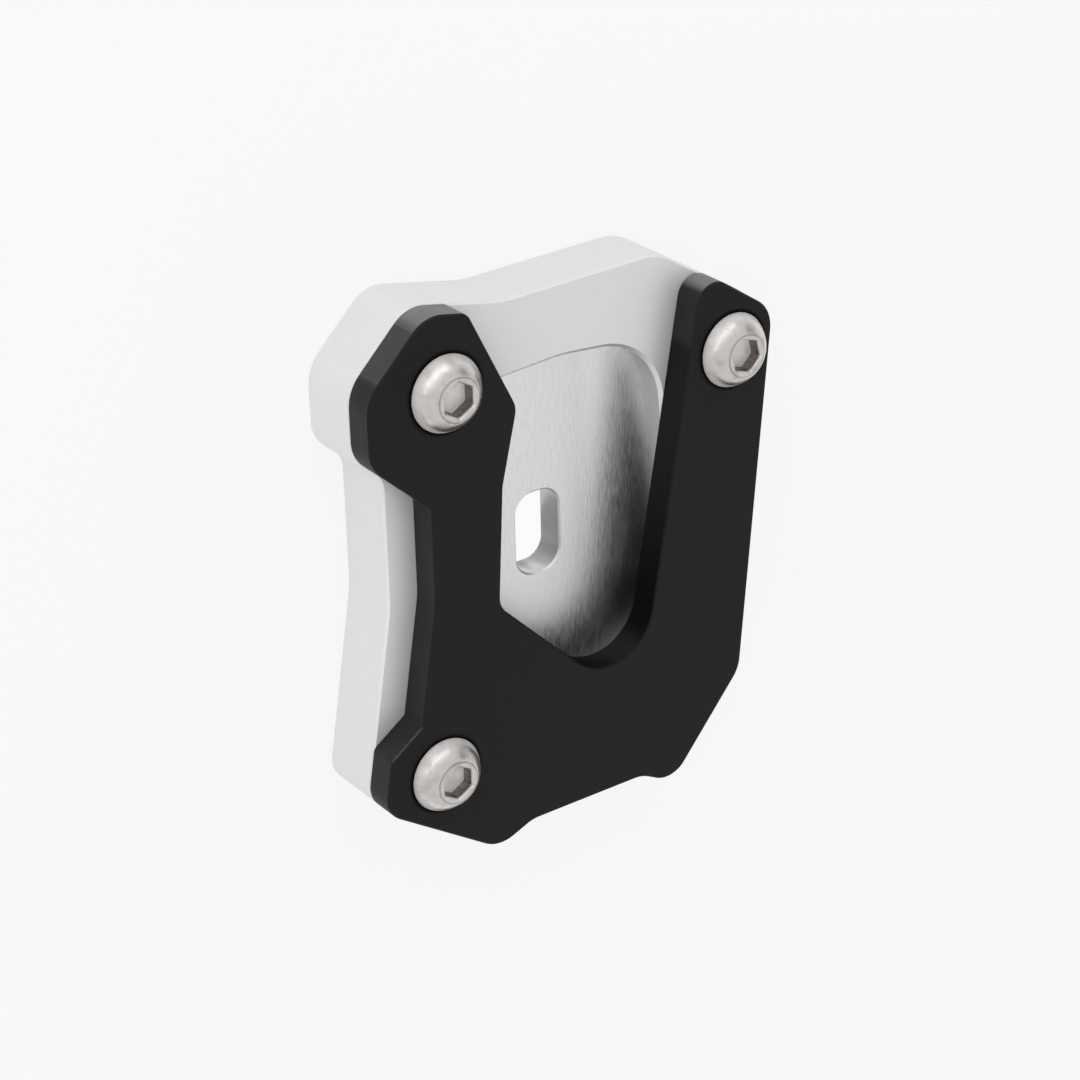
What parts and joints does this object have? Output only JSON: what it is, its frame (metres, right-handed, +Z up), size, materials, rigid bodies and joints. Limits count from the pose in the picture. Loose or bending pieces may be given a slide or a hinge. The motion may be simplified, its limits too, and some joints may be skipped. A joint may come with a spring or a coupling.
{
  "type": "side stand foot enlarger",
  "caption": "Bolt-on foot enlarger for a motorbike side stand: grey base plate with a foot pocket and a slot, black clamp plate held down by button-head screws",
  "frame": {"origin": "on the ground plane under the middle of the plates, beside the axis of the slot through the pocket floor", "axes": "+Z up out of the ground through the clamp plate, +Y along the slot towards the open end of the clamp plate's fork, +X across towards its long arm"},
  "size_m": [0.0647, 0.0793, 0.017],
  "materials": {
    "grey_alloy": "machined and blasted to a fine satin light grey",
    "black_alloy": "black satin anodised, with faint cutter lines on its edges",
    "screw_steel": "cold-formed stainless steel, lightly polished"
  },
  "bodies": {
    "root": {"base_plate": "grey_alloy", "clamp_plate": "black_alloy", "clamp_screws": "screw_steel"}
  },
  "joints": []
}
